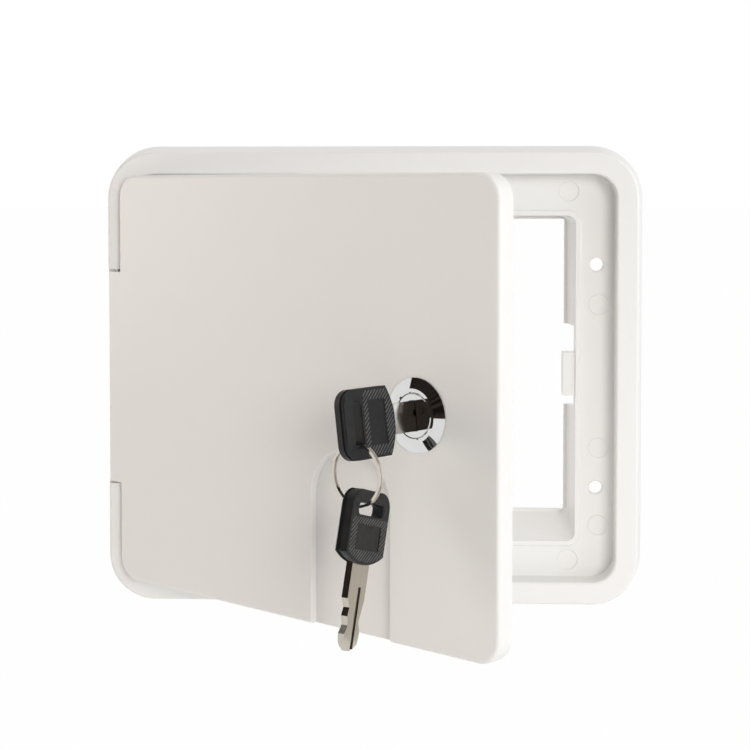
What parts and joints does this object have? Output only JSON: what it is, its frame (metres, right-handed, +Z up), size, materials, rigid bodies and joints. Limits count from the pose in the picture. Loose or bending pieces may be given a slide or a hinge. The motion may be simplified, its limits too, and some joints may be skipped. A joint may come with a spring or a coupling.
{
  "type": "cable storage hatch",
  "caption": "Recessed wall hatch with a rounded frame, a side-hinged door with cam lock and keys on a split ring, and an arched sliding cable outlet.",
  "frame": {"origin": "centre of the frame and of its screw pattern, on the wall plane", "axes": "+X to the free side of the door, +Y into the wall, +Z up"},
  "size_m": [0.1832, 0.1396, 0.1566],
  "materials": {
    "white_plastic": "smooth white moulded plastic, semi-gloss",
    "lock_chrome": "polished chrome plate",
    "plated_steel": "zinc plated steel",
    "key_plastic": "black moulded plastic with fine ribs",
    "key_nickel": "nickel plated brass",
    "ring_steel": "bright nickel plate"
  },
  "bodies": {
    "frame": {"frame": "white_plastic", "hinge_pin": "plated_steel"},
    "door": {"door": "white_plastic", "lock_body": "lock_chrome", "lock_nut": "plated_steel"},
    "slider": {"cable_slider": "white_plastic"},
    "lock": {"lock_cylinder": "lock_chrome", "lock_cam": "plated_steel", "cam_washer": "plated_steel", "cam_screw": "plated_steel"},
    "key": {"key_head": "key_plastic", "key_blade": "key_nickel"},
    "ring": {"key_ring": "ring_steel"},
    "spare_key": {"spare_key_head": "key_plastic", "spare_key_blade": "key_nickel"}
  },
  "joints": [
    {"name": "door_swing", "type": "hinge", "parent": "frame", "child": "door", "pos_m": [-0.0864, -0.0076, 0], "axis": [0, 0, -1], "range_deg": [-39, 71]},
    {"name": "cable_slide", "type": "slide", "parent": "door", "child": "slider", "axis": [0, 0, 1], "range_m": [0, 0.014]},
    {"name": "lock_turn", "type": "hinge", "parent": "door", "child": "lock", "pos_m": [0.018, -0.09844, -0.0008], "axis": [0.6293, 0.7771, 0], "range_deg": [0, 90]},
    {"name": "key_pull", "type": "slide", "parent": "lock", "child": "key", "axis": [-0.6293, -0.7771, 0], "range_m": [0, 0.024]},
    {"name": "ring_swing", "type": "hinge", "parent": "key", "child": "ring", "pos_m": [0.00222, -0.1197, -0.00875], "axis": [-0.6293, -0.7771, 0], "range_deg": [-90, 90]},
    {"name": "spare_key_swing", "type": "hinge", "parent": "ring", "child": "spare_key", "pos_m": [0.00222, -0.1197, -0.023], "axis": [-0.8746, 0.4848, 0], "range_deg": [-30, 45]}
  ]
}
